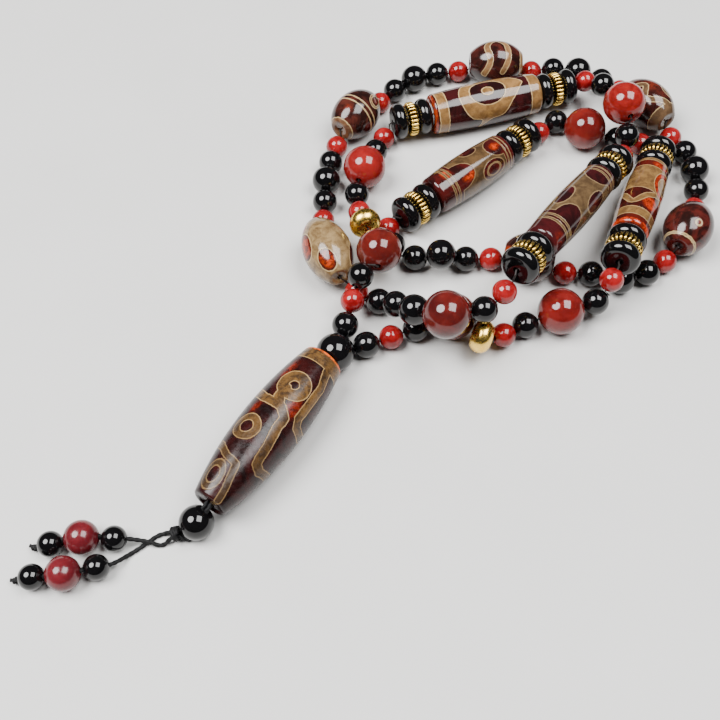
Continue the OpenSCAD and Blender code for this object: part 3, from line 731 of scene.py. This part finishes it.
def middle_line(solid):
    """Middles of the rings of corners of a swept solid, from one end to the other."""
    points, faces = solid
    used = np.unique(faces)
    beside = {i: set() for i in used}
    for face in faces:
        for i in face:
            beside[i].update(face)

    def layers(ring):
        """The corners a step away from a ring of them, two steps away, and so on."""
        found, met = [], set(ring)
        while ring:
            found.append(sorted(ring))
            ring = {j for i in ring for j in beside[i]} - met
            met |= ring
        return found

    # The corner most steps away from the first one is at an end of the cord, and the corners
    # round that end are within END_REACH diameters of it.
    end = layers({used[0]})[-1][0]
    cap = {i for i in used if np.linalg.norm(points[i] - points[end]) < END_REACH * CORD_D * MM}
    return np.array([points[ring].mean(axis=0) for ring in layers(cap)])


def smooth_line(points, spacing):
    """Evenly spaced points on a smooth curve through the given ones, and their places along it."""
    ends = run_on(points)
    s = np.linspace(0, 1, SPAN_STEPS, endpoint=False)[:, None]
    s2, s3 = s ** 2, s ** 3
    parts = []
    for a, b, c, d in zip(ends, ends[1:], ends[2:], ends[3:]):
        span = np.linalg.norm(c - b)
        u = span * (c - a) / np.linalg.norm(c - a)
        v = span * (d - b) / np.linalg.norm(d - b)
        parts.append(
            (2 * s3 - 3 * s2 + 1) * b + (s3 - 2 * s2 + s) * u + (3 * s2 - 2 * s3) * c + (s3 - s2) * v
        )
    curve = np.r_[np.concatenate(parts), points[-1:]]
    run = np.r_[0, np.cumsum(np.linalg.norm(np.diff(curve, axis=0), axis=1))]
    marks = np.linspace(0, run[-1], max(ROPE_LEAST, int(run[-1] / spacing)))
    return np.stack([np.interp(marks, run, curve[:, k]) for k in range(3)], axis=1), marks


def rope(name, points, diameter, material, twist=ROPE_TWIST):
    """A twisted cord of two strands along a line of points, closed at both ends."""
    centres, run = smooth_line(np.asarray(points), ROPE_STEP * MM)
    ahead = np.gradient(centres, axis=0)
    ahead /= np.linalg.norm(ahead, axis=1)[:, None]
    side = np.cross(ahead, NEARLY_UP)
    side /= np.linalg.norm(side, axis=1)[:, None]
    up = np.cross(ahead, side)
    angle = np.linspace(0, 2 * math.pi, ROPE_SIDES, endpoint=False)[None, :]
    phase = angle - (2 * math.pi * run / (twist * MM))[:, None]
    lobe = np.abs(np.cos(phase))
    radius = diameter / 2 * MM * (STRAND_CORE + STRAND_BULGE * lobe ** STRAND_POWER)
    ring = np.cos(angle)[..., None] * side[:, None] + np.sin(angle)[..., None] * up[:, None]
    skin = (centres[:, None] + radius[..., None] * ring).reshape(-1, 3)
    faces = ring_faces(len(centres), ROPE_SIDES, closed=False)
    faces += [tuple(range(ROPE_SIDES))[::-1], tuple(range(len(skin) - ROPE_SIDES, len(skin)))]
    # groove is how far into the groove between the strands a point lies, where the cord is painted darker as
    # shade.
    piece = new_piece(name, skin, faces, material, {"groove": (1 - lobe).ravel()})
    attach(piece, BODY)
    return piece


def knot_line(middle, axis):
    """A tight overhand knot about an axis."""
    ahead, aside = across(axis)
    t = np.linspace(KNOT_START, KNOT_START + 2 * math.pi, KNOT_STEPS)[:, None]
    wide = 2 + np.cos(3 * t)
    knot = wide * np.cos(2 * t) * ahead + wide * np.sin(2 * t) * aside + KNOT_DEPTH * np.sin(3 * t) * axis
    return middle + KNOT_SIZE * MM * knot


cord = cord_material()
paths = []
for number, solid in enumerate(solids("pendant_cords"), 1):
    path = middle_line(solid)
    if np.linalg.norm(path[0][:2]) > np.linalg.norm(path[-1][:2]):
        path = path[::-1]
    paths.append(path)
    # The rope is a little thicker than the solid, so it's raised to rest on the floor.
    piece = rope(f"tassel_cord_{number}", path + [0, 0, (ROPE_D - CORD_D) / 2 * MM], ROPE_D, cord)
    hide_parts("pendant_cords")
for number, solid in enumerate(solids("tassel_knots"), 1):
    middle = solid[0][np.unique(solid[1])].mean(axis=0)
    path = min(paths, key=lambda p: np.linalg.norm(p - middle, axis=1).min())
    near = np.linalg.norm(path - middle, axis=1).argmin()
    ahead = path[min(near + 1, len(path) - 1)] - path[max(near - 1, 0)]
    ahead /= np.linalg.norm(ahead)
    if near >= len(path) - 2:
        # At a cord's loose end, a knot and a tail that lie level on the floor.
        ahead[2] = 0
        knot = rope(f"end_knot_{number}", knot_line(middle, ahead), CORD_D, cord, KNOT_TWIST)
        tail_line = [middle + place * MM * ahead for place in TAIL_PLACES]
        tail = rope(f"cord_end_{number}", tail_line, CORD_D, cord)
        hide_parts("tassel_knots")
    else:
        turn = np.linspace(0, 2 * math.pi * COIL_TURNS, COIL_STEPS)
        along = (turn / turn[-1] - 0.5)[:, None] * COIL_LEN * ahead
        coil = middle + MM * (along + COIL_R * spokes(ahead, turn))
        knot = rope("binding_knot", coil, CORD_D, cord, KNOT_TWIST)
    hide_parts("tassel_knots")

# Materials of the solids that stay. An agate has a bright and a deep red, the colour of its spots
# and the size of its clouds.
onyx = onyx_material()
red = agate_material("red_agate", (148, 27, 29), (110, 15, 18), (168, 54, 50), 4.0, glow=0.35)
tassel_red = agate_material(
    "tassel_agate", (100, 28, 34), (82, 20, 26), (114, 40, 44), 5.0, glow=0.2, rough=0.2
)
LARGE_REDS = [
    ((100, 30, 24), (74, 20, 18), (110, 42, 32), 7.0),
    ((138, 32, 30), (112, 22, 22), (152, 52, 46), 7.0),
    ((134, 30, 27), (108, 20, 19), (164, 62, 42), 4.0, 0.3, (1, 1, 3)),
    ((90, 26, 23), (66, 18, 17), (102, 38, 32), 7.0),
    ((114, 31, 25), (88, 21, 19), (126, 48, 38), 7.0),
    ((112, 27, 24), (90, 19, 17), (132, 54, 44), 4.0),
    ((94, 27, 22), (70, 19, 16), (106, 40, 32), 7.0),
]
large_reds = {
    number: agate_material(f"carnelian_{number}", *looks) for number, looks in enumerate(LARGE_REDS, 1)
}
gold = gold_material("gold")
thread = thread_material()


def dress(node, material):
    for slot in nodes[node].material_slots:
        slot.material = material
    nodes[node].data.shade_smooth()


for node in nodes:
    if node.startswith("large_red"):
        dress(node, large_reds[int(node[-1])])
    elif node.startswith("tassel_red"):
        dress(node, tassel_red)
    elif node.startswith("gold_saucer"):
        dress(node, gold)
    elif node == "small_red_beads":
        dress(node, red)
    elif node == "necklace_thread":
        dress(node, thread)
    elif "black" in node or node in ("guru_bead", "pendant_end_bead", "spacer_rondelles"):
        dress(node, onyx)

# Stage: floor, lights and camera, in metres and watts.
FLOOR_HALF = 3
LIGHT_AWAY = 1.2
LIGHT_AIM = Vector((0, 0, 0.01))
WORLD_COLOUR, WORLD_STRENGTH = linear(205, 208, 212), 0.07
NEAREST_SEEN = 0.005

floor_mesh = bpy.data.meshes.new("floor")
corners = [(x * FLOOR_HALF, y * FLOOR_HALF, 0) for x, y in ((-1, -1), (1, -1), (1, 1), (-1, 1))]
floor_mesh.from_pydata(corners, [], [(0, 1, 2, 3)])
floor = bpy.data.objects.new("floor", floor_mesh)
floor_mesh.materials.append(floor_material())
bpy.context.collection.objects.link(floor)


def softbox(name, shape, direction, width, height, power):
    """An area light in a direction from the necklace, turned to it."""
    light = bpy.data.lights.new(name, "AREA")
    light.shape = shape
    light.size, light.size_y, light.energy = width, height, power
    lamp = bpy.data.objects.new(name, light)
    away = Vector(direction).normalized()
    lamp.location = away * LIGHT_AWAY + LIGHT_AIM
    lamp.rotation_euler = away.to_track_quat("Z", "Y").to_euler()
    bpy.context.collection.objects.link(lamp)


softbox("round_softbox", "ELLIPSE", (-0.50, -0.07, 0.86), 0.8, 0.8, 33)
softbox("square_softbox", "RECTANGLE", (0.40, -0.02, 0.92), 0.82, 0.66, 24)

world = bpy.data.worlds.new("studio")
world.use_nodes = True
background = world.node_tree.nodes["Background"]
background.inputs["Color"].default_value = WORLD_COLOUR
background.inputs["Strength"].default_value = WORLD_STRENGTH
bpy.context.scene.world = world

lens = bpy.data.cameras.new("camera")
lens.lens, lens.sensor_width, lens.sensor_fit = LENS_MM, SENSOR_MM, "HORIZONTAL"
lens.clip_start = NEAREST_SEEN
camera = bpy.data.objects.new("camera", lens)
tilt = Matrix.Rotation(math.pi / 2 - CAMERA_PITCH, 4, "X")
camera.matrix_world = Matrix.Translation(CAMERA_AT) @ tilt @ Matrix.Rotation(-CAMERA_ROLL, 4, "Z")
bpy.context.collection.objects.link(camera)
bpy.context.scene.camera = camera
